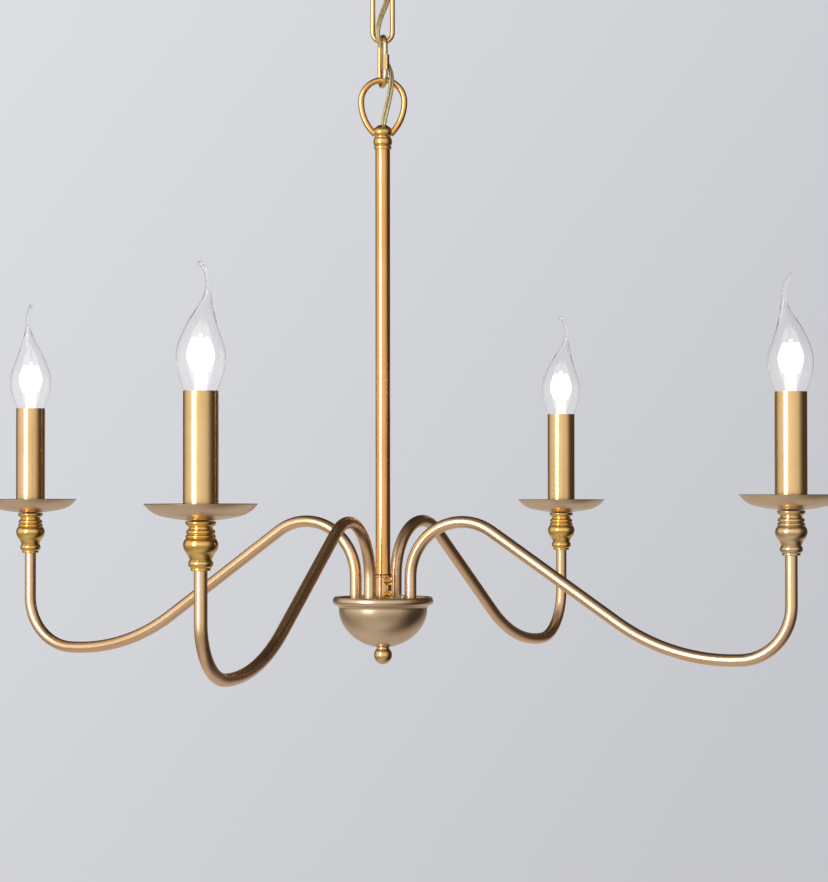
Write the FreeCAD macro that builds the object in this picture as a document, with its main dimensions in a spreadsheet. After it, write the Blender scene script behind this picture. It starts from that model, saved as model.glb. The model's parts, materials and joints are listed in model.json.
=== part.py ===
import FreeCAD, Part
import math
import os
import re
import Sketcher
from FreeCAD import Placement, Rotation, Vector

# A four-armed chandelier that hangs on a chain. Origin: centre of the ceiling face.
# +Z is up, +X to the right and +Y to the back, so the whole light hangs below zero.

# ---------------------------------------------------------------- driving dimensions, mm
SIZES = {
    # ceiling bracket and canopy
    "bracket_length": 100, "bracket_width": 18, "bracket_thick": 2.5,
    "slot_spacing": 76, "slot_length": 14, "slot_width": 5,
    "nipple_radius": 4.9, "nipple_bore": 3.4, "nipple_length": 34,
    "nut_flat": 7, "nut_thick": 4,
    "canopy_radius": 58, "canopy_depth": 25, "canopy_wall": 1, "canopy_lip": 5,
    "canopy_corner": 14,
    # screw knob with an oval ring, one on the canopy and one on the stem
    "ring_wire": 5, "ring_half_width": 17.65, "ring_side_radius": 37.6, "ring_side_turn": 42,
    "ring_end_height": 14,
    "knob_foot": 7.1, "knob_lower": 7.5, "knob_upper": 8, "knob_groove": 6.4, "knob_height": 19.6,
    "knob_bore": 3.3, "ring_root": 2.4, "seat_gap": 0.08,
    "seat_length": 9,
    # chain
    "link_wire": 4, "link_length": 48, "link_width": 20, "link_gap": 0.3,
    "quick_length": 44, "quick_turn": 16, "gate_gap": 1.2,
    "sleeve_nut_flat": 2.85, "sleeve_nut_length": 12.4, "sleeve_nut_height": 14,
    # supply cord
    "cord_size": 4.8,
    # stem
    "stem_radius": 6, "stem_wall": 1, "stem_top": 365, "stem_foot": 6,
    "collar_radius": 6.8, "collar_height": 18, "collar_base": -5,
    "screw_radius": 3.2, "screw_head": 2.2, "screw_shank": 1.5, "screw_turn": 33,
    "screw_low": 2, "screw_high": 13, "screw_slot": 0.9, "screw_slot_depth": 0.8,
    # hub
    "rim_radius": 41, "cup_radius": 36, "cup_side": 28.4, "cup_bottom": 38.2,
    "cup_wall": 1.2, "cup_shoulder": 9, "cup_foot": 41, "cup_hole": 3.3,
    "plate_radius": 34.3, "plate_thick": 2.5, "plate_top": -5,
    "window_radius": 7, "window_circle": 20,
    "rod_radius": 3, "rod_top": 4, "rod_foot": -49,
    "rod_nut_flat": 5, "plate_nut_thick": 4.5, "cup_nut_thick": 3, "cup_nut_foot": -39.2,
    "ball_radius": 7.35, "ball_centre": -47.4, "ball_neck": 5.2, "ball_seat": -40.95,
    # arms
    "arm_radius": 4.8, "arm_bore": 3.8, "arm_circle": 24.7, "arm_foot": -14,
    "arm_rise": 15.9, "hump_radius": 45.45, "hump_turn": 124.62, "arm_straight": 127.4,
    "sweep_radius": 163.5, "sweep_turn": 37.24, "heel_radius": 42.4, "heel_turn": 87.38,
    "arm_end_rise": 46.2,
    "arm_nut_flat": 6.5, "arm_nut_thick": 3.4, "turning_gap": 0.1,
    # candles
    "cup_height": 34.8, "cup_bore": 4.85, "cup_bore_depth": 8.2, "wire_bore": 3,
    "pan_radius": 40, "pan_depth": 12, "pan_wall": 0.8, "pan_hole": 4.2,
    "sleeve_radius": 12.5, "sleeve_wall": 0.7, "sleeve_length": 89.2, "sleeve_lift": 0.7,
    "holder_radius": 11, "holder_height": 75.2, "holder_bore": 7.35, "holder_bore_depth": 23,
    "holder_lift": 0.3,
    # bulbs
    "cap_radius": 6.9, "cap_height": 22.9, "contact_radius": 3, "contact_height": 2.5,
    "glass_foot": -10.8, "glass_neck": 6.9, "glass_mouth": 11, "glass_radius": 17.5,
    "glass_widest": 26, "glass_swell": 55, "glass_shoulder": 15.8, "glass_shoulder_height": 34,
    "glass_turn_in": 19.5, "glass_top_radius": 4.6, "glass_top": 59, "glass_wall": 0.7,
    "hollow_top": 54, "tail_radius": 1.9, "tail_start": 56.5, "tail_heading": 66,
    "tail_rise": 9, "tail_bend": 25, "tail_curl_radius": 16, "tail_curl": 50, "tail_tip": 1.5,
    "filament_radius": 4, "filament_low": 14, "filament_high": 42,
}

# Azimuth of each arm's foot, how far the arm is swivelled in the hub, and the side to
# which its bulb's tail bows out, in degrees from +X. The arms are bent by hand, so the
# last two numbers are how far this one is tipped up at its hump, in degrees, and how much
# longer its end run is, in mm.
ARMS = {
    "left": (155.2, -0.9, 250, 0.0, 0.0),
    "front": (245.3, 3.8, 0, 0.0, -1.7),
    "back": (65.3, -3.8, 0, 0.0, -1.3),
    "right": (-24.8, 1.4, 180, 0.9, 0.4),
}

# Route of the supply cord, from the bore of the stem's knob up through the chain and
# into the canopy's knob. Heights count from the hub's rim.
CORD_ROUTE = [
    (0.0, 0.0, 370.0), (0.1, 0.0, 383.0), (2.4, -1.4, 394.5), (5.2, -3.8, 406.0),
    (7.4, -6.4, 417.5), (7.0, -3.2, 428.5), (2.9, -0.9, 438.0), (-1.4, -3.1, 448.0),
    (-4.5, -6.1, 458.0), (-2.8, -4.2, 469.0), (0.2, 1.0, 478.0), (4.0, 4.9, 488.5),
    (5.9, 5.9, 499.5), (2.6, 2.4, 511.0), (-2.2, -1.8, 521.5), (-5.9, -5.9, 535.0),
    (-2.8, -3.0, 548.5), (1.8, 1.9, 561.0), (5.9, 5.9, 574.5), (2.8, 3.0, 588.0),
    (-1.8, -2.0, 600.5), (-5.6, -6.8, 614.0), (-3.0, -4.0, 628.0), (-0.4, -0.4, 640.5),
    (0.0, 0.0, 652.5), (0.0, 0.1, 662.0),
]

# ---------------------------------------------------------------- document and sheet
doc = FreeCAD.newDocument("multi_arm_chandelier")
sheet = doc.addObject("Spreadsheet::Sheet", "Sizes")
for row, (alias, number) in enumerate(SIZES.items(), start=1):
    sheet.set(f"A{row}", alias)
    sheet.set(f"B{row}", str(number))
    sheet.setAlias(f"B{row}", alias)
doc.recompute()


class Size:
    """A length or an angle, with the sheet formula that it comes from."""

    def __init__(self, number, formula):
        self.number = number
        self.formula = formula

    def join(self, other, sign, number):
        other = as_size(other)
        return Size(number(self.number, other.number), f"({self.formula}{sign}{other.formula})")

    def __add__(self, other):
        return self.join(other, "+", lambda a, b: a + b)

    def __sub__(self, other):
        return self.join(other, "-", lambda a, b: a - b)

    def __mul__(self, other):
        return self.join(other, "*", lambda a, b: a * b)

    def __truediv__(self, other):
        return self.join(other, "/", lambda a, b: a / b)

    def __neg__(self):
        return Size(-self.number, f"(-{self.formula})")

    __radd__ = __add__

    def __rmul__(self, other):
        return as_size(other) * self

    def __rsub__(self, other):
        return as_size(other) - self

    def __float__(self):
        return float(self.number)


def as_size(value):
    return value if isinstance(value, Size) else Size(value, f"({value})")


class Sheet:
    """Each alias of the sheet, as an attribute."""

    def __getattr__(self, alias):
        return Size(float(sheet.get(alias)), f"Sizes.{alias}")


S = Sheet()


def bind(thing, prop, size):
    size = as_size(size)
    if re.search("[a-z]", size.formula):
        thing.setExpression(prop, size.formula)
    else:
        setattr(thing, prop, float(size))


# ---------------------------------------------------------------- ways of making a piece
def finish(thing, label, spot=(0, 0, 0), spin=0.0, flip=0.0):
    """Names a piece and puts it in its place: flipped about X, spun about Z, moved."""
    thing.Label = label
    turn = Rotation(Vector(0, 0, 1), spin) * Rotation(Vector(1, 0, 0), flip)
    thing.Placement = Placement(Vector(*[float(v) for v in spot]), turn)
    return thing


def origin_plane(body, role):
    return next(o for o in body.Origin.OriginFeatures if o.Role == role)


def new_sketch(body, role, name, offset=None):
    sketch = body.newObject("Sketcher::SketchObject", name)
    sketch.AttachmentSupport = [(origin_plane(body, role), "")]
    sketch.MapMode = "FlatFace"
    if offset is not None:
        sketch.AttachmentOffset = offset
    return sketch


def new_body(name):
    return doc.addObject("PartDesign::Body", name)


def hold(sketch, kind, geometry, point, size):
    """Ties a sketch point's distance from the sketch's origin to the sheet."""
    size = as_size(size)
    if abs(float(size)) < 1e-9:
        axis = -2 if kind == "DistanceX" else -1
        sketch.addConstraint(Sketcher.Constraint("PointOnObject", geometry, point, axis))
        return
    if float(size) < 0:
        row = Sketcher.Constraint(kind, geometry, point, -1, 1, -float(size))
        size = -size
    else:
        row = Sketcher.Constraint(kind, -1, 1, geometry, point, float(size))
    index = sketch.addConstraint(row)
    if re.search("[a-z]", size.formula):
        sketch.setExpression(f"Constraints[{index}]", size.formula)


def arc_centre(start, end, radius):
    """Centre of the short arc from start to end. A positive radius turns left."""
    chord = end - start
    half = chord.Length / 2
    height = math.sqrt(max(radius * radius - half * half, 0.0))
    side = Vector(-chord.y, chord.x, 0).normalize()
    return (start + end) / 2 + side * math.copysign(height, radius)


def outline(sketch, corners):
    """A closed outline. A corner is (r, z), or (r, z, radius) where an arc comes to it."""
    spots = [Vector(float(c[0]), float(c[1]), 0) for c in corners]
    ends = []
    for number, corner in enumerate(corners):
        start, end = spots[number - 1], spots[number]
        if len(corner) == 2:
            index = sketch.addGeometry(Part.LineSegment(start, end), False)
            ends.append((index, 1, 2))
            continue
        radius = float(corner[2])
        centre = arc_centre(start, end, radius)
        first, last = (start, end) if radius > 0 else (end, start)
        low = math.atan2(first.y - centre.y, first.x - centre.x)
        high = math.atan2(last.y - centre.y, last.x - centre.x)
        if high < low:
            high += 2 * math.pi
        round_part = Part.ArcOfCircle(Part.Circle(centre, Vector(0, 0, 1), abs(radius)), low, high)
        index = sketch.addGeometry(round_part, False)
        ends.append((index, 1, 2) if radius > 0 else (index, 2, 1))
    for number, (index, first, last) in enumerate(ends):
        following = ends[(number + 1) % len(ends)]
        sketch.addConstraint(
            Sketcher.Constraint("Coincident", index, last, following[0], following[1]))
    for number, corner in enumerate(corners):
        index, first, last = ends[number]
        hold(sketch, "DistanceX", index, last, corner[0])
        hold(sketch, "DistanceY", index, last, corner[1])
        if len(corner) == 3:
            radius = Sketcher.Constraint("Radius", index, abs(float(corner[2])))
            sketch.addConstraint(radius)


def turned(name, corners, body=None):
    """A turned piece: the outline goes once round local Z."""
    body = body or new_body(name)
    sketch = new_sketch(body, "XZ_Plane", name + "_outline")
    outline(sketch, corners)
    turn = body.newObject("PartDesign::Revolution", name + "_turn")
    turn.Profile = sketch
    turn.ReferenceAxis = (sketch, ["V_Axis"])
    turn.Angle = 360
    return body


def bent_rod(name, start, heading, steps, outer, inner=None, body=None):
    """A rod or tube bent in the local XZ plane. heading is its first direction, in
    degrees up from +X; a step is (length,) or (radius, turn), left turns positive."""
    body = body or new_body(name)
    path = new_sketch(body, "XZ_Plane", name + "_path")
    spot, angle = Vector(float(start[0]), float(start[1]), 0), math.radians(heading)
    previous = None
    for step in steps:
        if len(step) == 1:
            end = spot + Vector(math.cos(angle), math.sin(angle), 0) * float(step[0])
            index = path.addGeometry(Part.LineSegment(spot, end), False)
            near, far = 1, 2
            row = path.addConstraint(Sketcher.Constraint("Distance", index, float(step[0])))
            bind(path, f"Constraints[{row}]", step[0])
        else:
            radius, turn = float(step[0]), math.radians(float(step[1]))
            side = math.copysign(1.0, turn)
            centre = spot + Vector(-math.sin(angle), math.cos(angle), 0) * radius * side
            low = angle - side * math.pi / 2
            high = low + turn
            circle = Part.Circle(centre, Vector(0, 0, 1), radius)
            index = path.addGeometry(
                Part.ArcOfCircle(circle, min(low, high), max(low, high)), False)
            near, far = (1, 2) if turn > 0 else (2, 1)
            end = centre + Vector(math.cos(high), math.sin(high), 0) * radius
            row = path.addConstraint(Sketcher.Constraint("Radius", index, radius))
            bind(path, f"Constraints[{row}]", step[0])
            angle += turn
        if previous:
            path.addConstraint(Sketcher.Constraint("Coincident", *previous, index, near))
        previous = (index, far)
        spot = end
    tilt = Rotation(Vector(0, 1, 0), 90 - heading)
    offset = Placement(Vector(float(start[0]), 0, float(start[1])), tilt)
    section = new_sketch(body, "XY_Plane", name + "_section", offset)
    for radius in filter(None, (outer, inner)):
        circle = Part.Circle(Vector(), Vector(0, 0, 1), float(radius))
        index = section.addGeometry(circle, False)
        section.addConstraint(Sketcher.Constraint("Coincident", index, 3, -1, 1))
        row = section.addConstraint(Sketcher.Constraint("Radius", index, float(radius)))
        bind(section, f"Constraints[{row}]", radius)
    pipe = body.newObject("PartDesign::AdditivePipe", name + "_pipe")
    pipe.Profile = section
    pipe.Spine = (path, [f"Edge{n + 1}" for n in range(len(steps))])
    return body


def solid(kind, name, **sizes):
    """A Part primitive whose sizes are bound to the sheet."""
    thing = doc.addObject("Part::" + kind, name)
    for prop, size in sizes.items():
        bind(thing, prop, size)
    return thing


def at(thing, x=0.0, y=0.0, z=0.0, axis=(0, 0, 1), angle=0.0):
    spot = Vector(float(x), float(y), float(z))
    thing.Placement = Placement(spot, Rotation(Vector(*axis), float(angle)))
    return thing


def joined(name, shapes):
    thing = doc.addObject("Part::MultiFuse", name)
    thing.Shapes = shapes
    thing.Refine = True
    return thing


def cut(name, base, tool):
    thing = doc.addObject("Part::Cut", name)
    thing.Base = base
    thing.Tool = tool
    return thing


def hexagon(name, flat, thick, bore, low):
    """A hexagon nut round local Z, with its foot at low."""
    prism = solid("Prism", name + "_prism", Circumradius=flat * (2 / math.sqrt(3)), Height=thick)
    prism.Polygon = 6
    hole = solid("Cylinder", name + "_hole", Radius=bore, Height=thick * 3)
    return cut(name, at(prism, z=low), at(hole, z=low - thick))


pieces = []


def keep(thing, label, **place):
    pieces.append(finish(thing, label, **place))
    return thing


# ---------------------------------------------------------------- heights
ring_side = S.ring_side_radius * math.sin(math.radians(float(S.ring_side_turn)))
ring_height = S.ring_end_height + ring_side + S.ring_half_width
ring_top = S.stem_top + ring_height + S.ring_wire / 2
quick_low = ring_top - S.ring_wire - S.link_gap - S.link_wire
quick_high = quick_low + S.quick_length
link_pitch = S.link_length - 2 * S.link_wire - S.link_gap
link_low = [quick_high - 2 * S.link_wire - S.link_gap + link_pitch * n for n in range(4)]
chain_high = link_low[3] + S.link_length
canopy_ring_low = chain_high - S.link_wire - S.link_gap - S.ring_wire
canopy_low = canopy_ring_low + ring_height + S.ring_wire / 2
drop = canopy_low + S.canopy_depth


def row_z(height):
    """Height above the hub's rim, as a height in the row's frame."""
    return height - drop


# ---------------------------------------------------------------- ceiling bracket, canopy
def ceiling_bracket():
    bar = solid("Box", "bracket_bar", Length=S.bracket_length, Width=S.bracket_width,
                Height=S.bracket_thick)
    at(bar, -S.bracket_length / 2, -S.bracket_width / 2, -S.bracket_thick)
    tools = [at(solid("Cylinder", "bracket_bore", Radius=S.nipple_radius + 0.05,
                      Height=S.bracket_thick * 3), z=-2 * S.bracket_thick)]
    straight = S.slot_length - S.slot_width
    for side in (-1, 1):
        middle = side * S.slot_spacing / 2
        slot = solid("Box", "bracket_slot", Length=straight, Width=S.slot_width,
                     Height=S.bracket_thick * 3)
        tools.append(at(slot, middle - straight / 2, -S.slot_width / 2, -2 * S.bracket_thick))
        for end in (-1, 1):
            round_end = solid("Cylinder", "slot_end", Radius=S.slot_width / 2,
                              Height=S.bracket_thick * 3)
            tools.append(at(round_end, middle + end * straight / 2, 0, -2 * S.bracket_thick))
    return cut("bracket", bar, joined("bracket_cuts", tools))


def canopy_dish():
    r, d, w, c = S.canopy_radius, S.canopy_depth, S.canopy_wall, S.canopy_corner
    hole = S.nipple_radius + 0.3
    return turned("canopy", [
        (hole, -d), (r - c, -d), (r, -d + c, 14.0), (r, 0), (r - S.canopy_lip, 0),
        (r - S.canopy_lip, -w), (r - w, -w), (r - w, -d + c), (r - c, -d + w, -13.0),
        (hole, -d + w)])


# ---------------------------------------------------------------- knob with its ring
def ring_foot():
    """Where the ring's left end stands in the knob, and the ring's direction there."""
    lean = math.radians(float(S.ring_side_turn))
    x = -S.ring_half_width + S.ring_side_radius * (1 - math.cos(lean))
    foot = (x + S.ring_root * math.sin(lean),
            S.ring_end_height - S.ring_root * math.cos(lean))
    return foot, 90 + float(S.ring_side_turn)


def ring(name):
    """Oval ring in the XZ plane; its two ends stand in the knob's sides."""
    foot, heading = ring_foot()
    turn = S.ring_side_turn
    return bent_rod(name, foot, heading, [
        (S.ring_root,), (S.ring_side_radius, -turn), (S.ring_half_width, -180.0),
        (S.ring_side_radius, -turn), (S.ring_root,)], S.ring_wire / 2)


def knob(name, socket_radius, socket_depth):
    """Turned knob: foot ring, two beads, a bore for the cord and a socket below it."""
    blank = turned(name + "_blank", [
        (socket_radius, 0), (S.knob_foot - 0.4, 0), (S.knob_foot, 0.5, 0.7), (S.knob_foot, 2),
        (S.knob_groove, 2.5), (S.knob_lower, 6.1, 4.2), (S.knob_groove, 9.7, 4.2),
        (S.knob_groove, 10.3), (S.knob_upper, 14.4, 5.2), (S.knob_groove - 1.4, 18.6, 5.6),
        (S.knob_bore + 0.6, S.knob_height), (S.knob_bore, S.knob_height - 0.6, 0.7),
        (S.knob_bore, socket_depth), (socket_radius, socket_depth)])
    foot, heading = ring_foot()
    seats = []
    for side in (1, -1):
        seat = solid("Cylinder", name + "_seat", Radius=S.ring_wire / 2 + S.seat_gap,
                     Height=S.seat_length)
        at(seat, side * foot[0], 0, foot[1], (0, 1, 0), side * (90 - heading))
        seats.append(seat)
    return cut(name, blank, joined(name + "_seats", seats))


# ---------------------------------------------------------------- chain
def link(name, length):
    """Closed wire link in the local XZ plane, its foot at z = 0."""
    bow = (S.link_width - S.link_wire) / 2
    straight = length - S.link_width
    low = S.link_width / 2
    shapes = []
    for height, turn in ((low, 180.0), (low + straight, 0.0)):
        half = solid("Torus", name + "_bow", Radius1=bow, Radius2=S.link_wire / 2)
        half.Angle3 = 180
        half.Placement = Placement(Vector(0, 0, float(height)),
                                   Rotation(Vector(1, 0, 0), 90) * Rotation(Vector(0, 0, 1), turn))
        shapes.append(half)
    for side in (-1, 1):
        leg = solid("Cylinder", name + "_leg", Radius=S.link_wire / 2, Height=straight)
        shapes.append(at(leg, side * bow, 0, low))
    return joined(name, shapes)


def quick_link():
    """Link with a gap in its near leg, which the sleeve nut closes."""
    wire = S.link_wire
    gate = solid("Box", "gate", Length=wire * 1.5, Width=wire * 1.5, Height=S.gate_gap)
    leg = (S.link_width - wire) / 2
    middle = S.sleeve_nut_height + S.sleeve_nut_length / 2
    at(gate, -leg - wire * 0.75, -wire * 0.75, middle)
    return cut("quick", link("quick_wire", S.quick_length), gate)


def sleeve_nut():
    """Long hexagon nut on the quick link's near leg."""
    return hexagon("sleeve_nut", S.sleeve_nut_flat, S.sleeve_nut_length,
                   S.link_wire / 2 + 0.1, as_size(0))


# ---------------------------------------------------------------- supply cord
def cord():
    """The cord's tube: straight runs joined by tangent arcs as large as they allow."""
    points = [Vector(x, y, float(row_z(z))) for x, y, z in CORD_ROUTE]
    edges, here, radii = [], points[0], []
    for before, corner, after in zip(points, points[1:], points[2:]):
        back, ahead = before - corner, after - corner
        run = min(back.Length, ahead.Length)
        turn = math.pi - back.getAngle(ahead)
        radii.append(0.45 * run / math.tan(turn / 2))
        start = corner + back.normalize() * 0.45 * run
        end = corner + ahead.normalize() * 0.45 * run
        centre_way = (back + ahead).normalize()
        depth = radii[-1] / math.cos(turn / 2) - radii[-1]
        edges.append(Part.LineSegment(here, start).toShape())
        edges.append(Part.Arc(start, corner + centre_way * depth, end).toShape())
        here = end
    edges.append(Part.LineSegment(here, points[-1]).toShape())
    path = Part.Wire(edges)
    radius = float(S.cord_size) / 2
    section = Part.Wire([Part.makeCircle(radius, points[0], points[1] - points[0])])
    tube = path.makePipeShell([section], True, True)
    print("cord radii", [round(r, 1) for r in radii])
    print("cord length", round(path.Length, 1), "volume ratio",
          round(tube.Volume / (math.pi * radius ** 2 * path.Length), 4))
    thing = doc.addObject("Part::Feature", "cord")
    thing.Shape = tube
    return thing


# ---------------------------------------------------------------- stem and hub
def tube(name, outer, inner, height):
    body = solid("Cylinder", name + "_outer", Radius=outer, Height=height)
    hole = solid("Cylinder", name + "_inner", Radius=inner, Height=height * 2)
    return cut(name, body, at(hole, z=-height / 2))


def hub_collar():
    """Coupling collar: the stem stands in it, and the hub's rod is screwed in below."""
    seat = S.stem_foot - S.collar_base
    top = S.collar_height - S.collar_base
    r = S.collar_radius
    blank = turned("collar_blank", [
        (S.rod_radius + 0.1, 0), (r, 0), (r, top - 2.4), (r - 0.3, top - 2.1),
        (r - 0.3, top - 1.7), (r + 0.6, top - 1.4), (r + 0.6, top - 0.4), (r + 0.2, top),
        (S.stem_radius + 0.05, top), (S.stem_radius + 0.05, seat),
        (S.rod_radius + 0.1, seat)])
    holes = [screw_shape("collar_hole", height, S.screw_shank + 0.1, as_size(10))
             for height in (S.screw_low, S.screw_high)]
    return cut("collar", blank, joined("collar_holes", holes))


def screw_shape(name, height, radius, length):
    """Cylinder along local -Y, turned with the screws, at a height over the collar's foot."""
    shank = solid("Cylinder", name, Radius=radius, Height=length)
    turn = Rotation(Vector(0, 0, 1), float(S.screw_turn)) * Rotation(Vector(1, 0, 0), 90)
    out = turn.multVec(Vector(0, 0, 1)) * float(S.stem_radius)
    shank.Placement = Placement(Vector(out.x, out.y, float(height - S.collar_base)), turn)
    return shank


def collar_screws():
    """Two slotted cheese-head screws, one above the other."""
    shapes = []
    for height in (S.screw_low, S.screw_high):
        shank = screw_shape("screw_shank", height, S.screw_shank, S.collar_radius)
        shank.Height = float(S.collar_radius - S.stem_radius) + 0.4
        head = screw_shape("screw_head", height, S.screw_radius, S.screw_head)
        head.Placement = Placement(
            head.Placement.Rotation.multVec(Vector(0, 0, 1.1)), Rotation()) * head.Placement
        slot = solid("Box", "screw_slot", Length=S.screw_radius * 4, Width=S.screw_slot,
                     Height=S.screw_head)
        corner = (-2 * S.screw_radius, -S.screw_slot / 2, S.screw_head - S.screw_slot_depth)
        slot.Placement = head.Placement * Placement(Vector(*map(float, corner)), Rotation())
        shapes.append(cut("screw", joined("screw_blank", [shank, head]), slot))
    group = doc.addObject("Part::Compound", "screws")
    group.Links = shapes
    return group


def hub_cup():
    """Spun bowl with a rolled rim; the hub's rod holds it through a hole in its foot."""
    wall, side, bottom = S.cup_wall, S.cup_side, S.cup_bottom
    hole = float(S.cup_hole)
    inset = float(S.cup_radius - side)
    low = -float(S.cup_shoulder)
    deep = float(bottom - S.cup_foot)
    lean = math.hypot(inset, low - deep)
    way = (inset / lean, (low - deep) / lean)

    def on_bottom(reach):
        return (reach * way[0], deep + reach * way[1])

    def foot(reach):
        return deep - math.sqrt(reach ** 2 - hole ** 2)

    outer, inner = float(bottom), float(bottom - wall)
    r = S.cup_radius
    lip = S.rim_radius
    return turned("cup", [
        (hole, foot(outer)), (*on_bottom(outer), outer), (r, low, float(side)),
        (r + 0.2, low + 0.8), (r + 2.4, low + 2.4, -3.2),
        (lip, low + 5.4, 3.6), (lip - 1.4, 0, 4.4), (lip - 2.4, -0.5, 1.2), (lip - 3.2, -3.4),
        (r - 0.4, low + 2.6, -3.4), (r - wall, low), (*on_bottom(inner), -float(side - wall)),
        (hole, foot(inner), -inner)])


def hub_plate():
    disc = solid("Cylinder", "plate_disc", Radius=S.plate_radius, Height=S.plate_thick)
    tools = [at(solid("Cylinder", "plate_bore", Radius=S.rod_radius + 0.15,
                      Height=S.plate_thick * 3), z=-S.plate_thick)]
    for azimuth, *_ in ARMS.values():
        angle = math.radians(azimuth)
        hole = solid("Cylinder", "arm_hole", Radius=S.arm_radius + S.turning_gap,
                     Height=S.plate_thick * 3)
        tools.append(at(hole, S.arm_circle * math.cos(angle), S.arm_circle * math.sin(angle),
                        -S.plate_thick))
    for azimuth, *_ in ARMS.values():
        angle = math.radians(azimuth + 45)
        window = solid("Cylinder", "wire_window", Radius=S.window_radius,
                       Height=S.plate_thick * 3)
        tools.append(at(window, S.window_circle * math.cos(angle),
                        S.window_circle * math.sin(angle), -S.plate_thick))
    return cut("plate", disc, joined("plate_cuts", tools))


def hub_nuts():
    """Nuts on the hub's rod: under the plate, and inside the cup's foot."""
    upper = hexagon("plate_nut", S.rod_nut_flat, S.plate_nut_thick, S.rod_radius + 0.05,
                    S.plate_top - S.plate_thick - S.plate_nut_thick)
    lower = hexagon("cup_nut", S.rod_nut_flat, S.cup_nut_thick, S.rod_radius + 0.05,
                    S.cup_nut_foot)
    group = doc.addObject("Part::Compound", "nuts")
    group.Links = [upper, lower]
    return group


def finial_ball():
    r, middle, neck = S.ball_radius, S.ball_centre, S.ball_neck
    rise = math.sqrt(float(r) ** 2 - float(neck) ** 2)
    bore = S.rod_radius + 0.05
    return turned("ball", [
        (0, middle - r), (r, middle, float(r)), (neck, middle + rise, float(r)),
        (neck, S.ball_seat), (bore, S.ball_seat), (bore, S.rod_foot - 0.3),
        (0, S.rod_foot - 0.3)])


# ---------------------------------------------------------------- one arm with its candle
def arm_steps(side):
    """Runs and bends of an arm, from its foot in the hub to its end in the cup."""
    tipped, longer = ARMS[side][3:]
    return [
        (S.arm_rise - S.arm_foot,), (S.hump_radius, tipped - S.hump_turn), (S.arm_straight,),
        (S.sweep_radius, S.sweep_turn), (S.heel_radius, S.heel_turn - tipped),
        (S.arm_end_rise + longer,)]


def arm_end(side):
    """How far out an arm ends, and the height of its cup's foot over the hub's rim."""
    spot, way = complex(0, float(S.arm_foot)), 1j
    for step in arm_steps(side):
        if len(step) == 1:
            spot += way * float(step[0])
        else:
            radius, turn = float(step[0]), math.radians(float(step[1]))
            inward = 1j * math.copysign(radius, turn)
            spot += way * inward
            way *= complex(math.cos(turn), math.sin(turn))
            spot -= way * inward
    return spot.real, spot.imag - float(S.cup_bore_depth - S.turning_gap)


def arm_tube(side):
    return bent_rod("arm_" + side, (0, S.arm_foot), 90.0, arm_steps(side), S.arm_radius,
                    S.arm_bore)


def arm_nuts(name):
    """Shoulder nut above the plate and lock nut under it."""
    above = hexagon(name + "_above", S.arm_nut_flat, S.arm_nut_thick, S.arm_radius + 0.05,
                    S.plate_top + S.turning_gap)
    below = hexagon(name + "_below", S.arm_nut_flat, S.arm_nut_thick, S.arm_radius + 0.05,
                    S.plate_top - S.plate_thick - S.turning_gap - S.arm_nut_thick)
    group = doc.addObject("Part::Compound", name)
    group.Links = [above, below]
    return group


def candle_cup(name):
    """Turned brass cup: double bead, pear-shaped bulge, two fine rings and a top bead."""
    high = S.cup_height
    return turned(name, [
        (S.cup_bore, 0), (6.6, 0), (7.1, 0.8, 0.7), (6.9, 1.7, 0.9), (7.3, 2.0),
        (8.7, 4.2, 3.0), (8.1, 7.0, 3.0), (7.8, 7.6), (8.1, 8.6), (10.6, 13.0, -14.0),
        (12.4, 18.2, 9.5), (10.5, 22.6, 6.5), (10.2, 22.8), (10.1, 25.0, 1.4), (9.5, 25.3),
        (9.1, 28.9, 2.2), (8.4, 29.4), (8.4, 30.2), (9.6, 31.3, -1.4), (10.8, 33.3, 3.2),
        (10.4, high - 0.3, 1.3), (9.9, high), (S.wire_bore, high),
        (S.wire_bore, S.cup_bore_depth), (S.cup_bore, S.cup_bore_depth)])


def drip_pan(name):
    """Shallow spun pan, nearly flat in the middle and turned up at the rim."""
    flat, edge, wall = 120.0, 21.2, float(S.pan_wall)
    hole = float(S.pan_hole)
    lean = math.radians(13)
    middle = (flat * math.sin(lean) - edge * math.sin(lean),
              flat - flat * math.cos(lean) + edge * math.cos(lean))

    def meet(reach):
        return (reach * math.sin(lean), flat - reach * math.cos(lean))

    def rim(reach, r):
        return middle[1] - math.sqrt(reach ** 2 - (r - middle[0]) ** 2)

    r = float(S.pan_radius)
    high = float(S.pan_depth)
    return turned(name, [
        (hole, flat - math.sqrt(flat ** 2 - hole ** 2)), (*meet(flat), flat),
        (r - 0.4, rim(edge, r - 0.4), edge), (r, high - 0.3, 0.9), (r - 0.5, high, 0.4),
        (r - 1.25, rim(edge - wall, r - 1.25), 1.6),
        (*meet(flat - wall), -(edge - wall)),
        (hole, flat - math.sqrt((flat - wall) ** 2 - hole ** 2), -(flat - wall))])


def lampholder(name):
    """Candle lampholder: a long insulating body with the lamp's threaded socket on top."""
    r, high, bore = S.holder_radius, S.holder_height, S.holder_bore
    floor = high - S.holder_bore_depth
    return turned(name, [
        (S.wire_bore, 0), (r - 3, 0), (r - 3, 8), (r, 12), (r, high - 2), (r - 1, high),
        (bore, high), (bore, floor), (S.wire_bore, floor)])


# ---------------------------------------------------------------- bulb
def bulb_cap(name):
    """Small screw cap with its insulator and end contact, the contact's face at z = 0."""
    r, c = S.cap_radius, S.contact_radius
    top = S.contact_height + S.cap_height
    return turned(name, [
        (0, 0), (c - 0.8, 0), (c, 0.9, 1.2), (c, 1.2), (r - 1, S.contact_height),
        (r, S.contact_height + 1), (r, top), (0, top)])


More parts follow.
